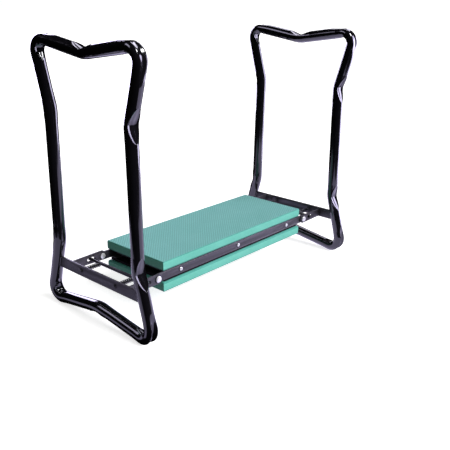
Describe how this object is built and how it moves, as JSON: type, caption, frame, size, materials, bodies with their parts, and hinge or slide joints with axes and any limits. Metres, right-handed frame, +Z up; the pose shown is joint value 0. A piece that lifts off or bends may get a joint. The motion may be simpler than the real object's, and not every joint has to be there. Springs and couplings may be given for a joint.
{
  "type": "folding garden kneeler seat",
  "caption": "Folding garden kneeler and seat: closed tube legs with crushed bends, hinged and sprung-locked on a steel frame between green foam pads.",
  "frame": {"origin": "on the floor under the middle of the seat, legs open", "axes": "+Z up, +X along the seat towards the right leg, -Y is the front"},
  "size_m": [0.596, 0.2906, 0.4931],
  "materials": {
    "tube_black": "gloss black powder coat on bent tube",
    "sheet_grey": "satin dark grey paint on sheet steel",
    "rod_black": "satin black bar",
    "zinc_steel": "bright zinc plate",
    "spring_steel": "dark oiled spring wire",
    "foam_green": "matt closed-cell foam with a fine embossed skin",
    "board_black": "matt black hardboard"
  },
  "bodies": {
    "seat": {"front_rail": "sheet_grey", "rear_rail": "sheet_grey", "left_strut": "sheet_grey", "middle_strut": "sheet_grey", "right_strut": "sheet_grey", "upper_board": "board_black", "lower_board": "board_black", "top_pad": "foam_green", "bottom_pad": "foam_green", "pivot_rivets": "zinc_steel", "pivot_spacers": "rod_black", "rivet_washers": "rod_black", "rail_screws": "zinc_steel", "rail_nuts": "zinc_steel", "upper_board_screws": "zinc_steel", "lower_board_screws": "zinc_steel"},
    "left_leg": {"left_loop": "tube_black", "left_crossbar": "sheet_grey", "left_front_arm": "sheet_grey", "left_rear_arm": "sheet_grey", "left_springs": "spring_steel"},
    "right_leg": {"right_loop": "tube_black", "right_crossbar": "sheet_grey", "right_front_arm": "sheet_grey", "right_rear_arm": "sheet_grey", "right_springs": "spring_steel"},
    "left_lock": {"left_lock_rod": "rod_black", "left_guide_pins": "rod_black"},
    "right_lock": {"right_lock_rod": "rod_black", "right_guide_pins": "rod_black"}
  },
  "joints": [
    {"name": "left_fold", "type": "hinge", "parent": "seat", "child": "left_leg", "pos_m": [-0.219, 0, 0.084], "axis": [0, 1, 0], "range_deg": [0, 93.5]},
    {"name": "left_lock_slide", "type": "slide", "parent": "left_leg", "child": "left_lock", "axis": [-1, 0, 0], "range_m": [-0.005, 0.005], "stiffness_N_per_m": 1200, "springref_m": -0.005, "deforming": ["left_springs"]},
    {"name": "right_fold", "type": "hinge", "parent": "seat", "child": "right_leg", "pos_m": [0.219, 0, 0.084], "axis": [0, -1, 0], "range_deg": [0, 86.5]},
    {"name": "right_lock_slide", "type": "slide", "parent": "right_leg", "child": "right_lock", "axis": [1, 0, 0], "range_m": [-0.005, 0.005], "stiffness_N_per_m": 1200, "springref_m": -0.005, "deforming": ["right_springs"]}
  ]
}
